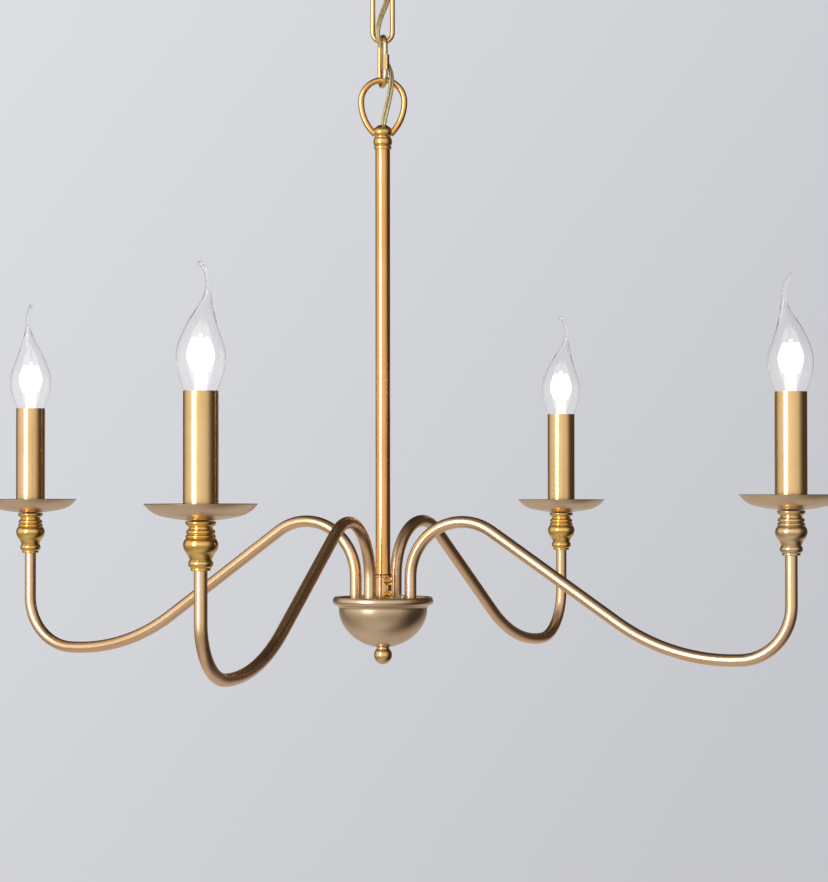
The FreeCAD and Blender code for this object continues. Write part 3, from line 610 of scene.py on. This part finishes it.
def make_cord():
    """The cord in six spans, one for each hinge, cut at the middle of each link."""
    route = [Vector((x * MM, y * MM, HUB + z * MM)) for x, y, z in CORD_ROUTE]
    line = spline_points(route, steps=10)
    across, up = frames_along(line)
    along = [0.0]
    for one, two in zip(line, line[1:]):
        along.append(along[-1] + (two - one).length)
    nodes = ["quick_link", "chain_link_1", "chain_link_2", "chain_link_3", "chain_link_4"]
    hinges = ["fixture_swing", "quick_link_swing", "link_1_swing", "link_2_swing",
              "link_3_swing", "link_4_swing"]
    cuts = [0]
    for node in nodes:
        height = middle(node)[0].z
        cuts.append(min(range(len(line)), key=lambda k: abs(line[k].z - height)))
    cuts.append(len(line) - 1)
    for number, hinge in enumerate(hinges):
        span = range(cuts[number], cuts[number + 1] + 1)
        skin = Skin()
        for strand in (0.0, math.pi):
            path = []
            for k in span:
                turn = strand + FLAT + math.tau * along[k] / TWIST
                out = across[k] * math.cos(turn) + up[k] * math.sin(turn)
                path.append(line[k] + out * STRAND_OUT)
            skin.tube(path, [STRAND] * len(path), count=14)
        piece = skin.piece(f"supply_cord_span_{number + 1}", FLEX)
        height = hinge_height(hinge)
        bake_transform(piece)
        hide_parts("supply_cord")
        path = [tuple(line[k]) for k in span]


# ================================================================ bulbs
# Half outline of the bulb's glass: height over the sleeve's top, how far its middle has
# wandered to one side, and its radius, in mm.
FLAME = [
    (-11.0, 0.0, 6.9), (-6.0, 0.0, 8.6), (0.0, 0.0, 11.4), (6.0, 0.0, 14.0),
    (13.0, 0.0, 16.3), (19.0, 0.0, 17.3), (25.0, 0.0, 17.5), (31.0, 0.1, 16.6),
    (38.0, 0.4, 14.2), (46.0, 1.2, 11.0), (53.0, 2.4, 7.9), (59.0, 3.6, 5.4),
    (64.0, 4.4, 3.5), (69.0, 4.9, 2.4), (74.0, 5.0, 1.95), (79.0, 4.7, 1.8),
    (82.5, 3.9, 1.75), (85.3, 2.7, 1.6), (87.2, 1.4, 1.45), (88.4, 0.4, 1.3),
]
GLASS_WALL = 0.28             # thickness of the blown wall, in mm
SOLID_ABOVE = 72.0            # the tail is solid glass over this height, in mm
NARROWING = 26.0              # the hollow tapers away over this height below that, in mm
SOLID_SHARE = 0.8             # share of the radius that is glass where the hollow ends
BEAD = 1.75 * MM              # radius of the bead at the tail's tip
# Which way each tail curls, in degrees anticlockwise from +X.
TAILS = {"left": 250, "front": 0, "back": 0, "right": 180}


def smooth_rows(rows, steps):
    """Rows of numbers with Catmull-Rom rows in between."""
    made = []
    for k in range(len(rows) - 1):
        before, one = rows[max(k - 1, 0)], rows[k]
        two, after = rows[k + 1], rows[min(k + 2, len(rows) - 1)]
        for step in range(steps):
            t = step / steps
            made.append(tuple(
                0.5 * (2 * b + (c - a) * t + (2 * a - 5 * b + 4 * c - d) * t * t
                       + (3 * b - a - 3 * c + d) * t ** 3)
                for a, b, c, d in zip(before, one, two, after)))
    made.append(rows[-1])
    return made


def bulb_glass(side, spot, turn):
    """Thin blown glass, drawn out at the top into a solid curling tail with a bead."""
    rows = smooth_rows(FLAME, 4)
    lean = Vector((math.cos(turn), math.sin(turn), 0))
    path = [spot + Vector((0, 0, z * MM)) + lean * x * MM for z, x, _ in rows]
    across, up = frames_along(path)
    count = 48
    skin = Skin()
    outer = []
    inner = []
    for k, row in enumerate(rows):
        outer.append(skin.cross_ring(path[k], across[k], up[k], row[2] * MM, count))
    hollow = [k for k in range(len(rows)) if rows[k][0] < SOLID_ABOVE]
    for k in hollow:
        height, _, radius = rows[k]
        near_top = max(0.0, (height - SOLID_ABOVE) / NARROWING + 1.0) ** 2
        wall = GLASS_WALL + near_top * (radius * SOLID_SHARE - GLASS_WALL)
        inner.append(skin.cross_ring(path[k], across[k], up[k], (radius - wall) * MM, count))
    for one, two in zip(inner, inner[1:]):
        skin.bridge(two, one)
    skin.bridge(inner[0], outer[0])
    skin.cap(inner[-1], path[hollow[-1]] + Vector((0, 0, 0.6 * MM)), flip=True)
    end, way = path[-1], (path[-1] - path[-2]).normalized()
    for k in range(1, 8):
        angle = math.radians(45 + 135 * k / 8)       # from the bead's near pole
        spot_on_axis = end + way * (BEAD * (0.72 - math.cos(angle)))
        outer.append(skin.cross_ring(spot_on_axis, across[-1], up[-1],
                                     BEAD * math.sin(angle), count))
    skin.join(outer)
    skin.cap(outer[-1], end + way * BEAD * 1.72)
    piece = skin.piece("bulb_envelope_" + side, GLASS)
    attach(piece, "bulb_" + side)
    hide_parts("bulb_glass_" + side)


def bulb_mount(side, spot, turn):
    """Glass stem with its pinch, two lead wires spread in a V, and the post between them."""
    skin = Skin()
    lean = Vector((math.cos(turn), math.sin(turn), 0))
    up = Vector((0, 0, 1))
    # Stem and post: height over the sleeve's top and radius. Leads: distance out and height.
    stem = [(-10.5, 5.6), (-6.0, 4.8), (0.0, 4.3), (6.0, 4.3), (11.0, 4.6), (14.5, 4.0),
            (17.0, 2.0)]
    skin.tube([spot + up * z * MM for z, _ in stem], [r * MM for _, r in stem], count=20)
    for way in (-1, 1):
        lead = [(3.0, 12.0), (4.6, 14.0), (6.4, 16.5), (8.2, 19.5), (9.2, 24.0)]
        path = [spot + lean * way * x * MM + up * z * MM for x, z in smooth_rows(lead, 4)]
        skin.tube(path, [0.6 * MM] * len(path), count=8)
    post = [(16.0, 1.3), (22.0, 1.2), (28.0, 1.2), (34.0, 1.3), (40.0, 1.5)]
    skin.tube([spot + up * z * MM for z, _ in post], [r * MM for _, r in post], count=10)
    # The mount's material is painted glow, standing in for the glare round the filament.
    piece = skin.piece("bulb_mount_" + side, MOUNT_PAINTED_GLOW)
    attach(piece, "bulb_" + side)
    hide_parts("bulb_filament_" + side)


def bulb_filament(side, spot, turn):
    """A coiled filament, hung in tall zigzags that bow out round the mount."""
    # The zigzags run from low to high, in mm. They bow out to reach, and to a share of it
    # at their ends.
    hops, low, high, reach, end_share = 8, 14.5, 36.5, 9.0, 0.6
    rows = []
    for k in range(4 * hops + 1):
        angle = turn + math.radians(340.0) * k / (4 * hops) + math.radians(10.0)
        level = (1 - math.cos(math.pi * k / 2)) / 2
        out = reach * (1.0 if k % 2 else end_share)
        rows.append((out * math.cos(angle), out * math.sin(angle), low + (high - low) * level))
    path = [spot + Vector(row) * MM for row in smooth_rows(rows, 8)]
    skin = Skin()
    skin.tube(path, [1.0 * MM] * len(path), count=8)
    piece = skin.piece("bulb_coil_" + side, FILAMENT)
    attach(piece, "bulb_" + side)


def bulb_cap(side):
    """Screw cap: a rolled thread, a glass insulator and the centre contact."""
    centre, foot, top = middle("bulb_cap_" + side)
    crest, root, pitch, count = 6.9 * MM, 6.35 * MM, 2.8 * MM, 48
    contact = ((2.2, 0.0), (3.0, 0.5), (3.0, 1.2), (5.6, 2.4))       # radius, height over foot
    neck = ((6.35, 3.6), (6.6, 3.0), (6.85, 2.6), (6.85, 0.0))       # radius, depth below top
    skin = Skin()
    rings = [skin.level_ring(centre, radius * MM, foot + height * MM, count)
             for radius, height in contact]
    # The thread, which runs out over a few rings at each end.
    start, end, steps, run_out = foot + 3.4 * MM, top - 4.0 * MM, 56, 5
    for k in range(steps + 1):
        height = start + (end - start) * k / steps
        fade = min(1.0, k / run_out, (steps - k) / run_out)
        spots = []
        for a in circle(count):
            wave = 0.5 + 0.5 * math.cos(math.tau * (height - start) / pitch - a)
            radius = root + (crest - root) * wave * fade
            spots.append(Vector((centre.x + radius * math.cos(a),
                                 centre.y + radius * math.sin(a), height)))
        rings.append(skin.ring(spots))
    for radius, depth in neck:
        rings.append(skin.level_ring(centre, radius * MM, top - depth * MM, count))
    skin.join(rings)
    skin.cap(rings[0], Vector((centre.x, centre.y, foot)), flip=True)
    skin.cap(rings[-1], Vector((centre.x, centre.y, top)))
    piece = skin.piece("bulb_screw_cap_" + side, LAMP_CAP)
    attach(piece, "bulb_" + side)
    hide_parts("bulb_cap_" + side)


def make_bulbs():
    """Four bulbs, placed from the tops of their candle sleeves."""
    for side in SIDES:
        centre, _, high = middle("candle_sleeve_" + side)
        spot = Vector((centre.x, centre.y, high))
        turn = math.radians(TAILS[side])
        bulb_glass(side, spot, turn)
        bulb_mount(side, spot, turn)
        bulb_filament(side, spot, turn)
        bulb_cap(side)


make_camera()
make_stage()
make_lights()
make_collar_gap_shadow()
make_cord()
make_bulbs()
bpy.context.scene.view_settings.view_transform = "Standard"
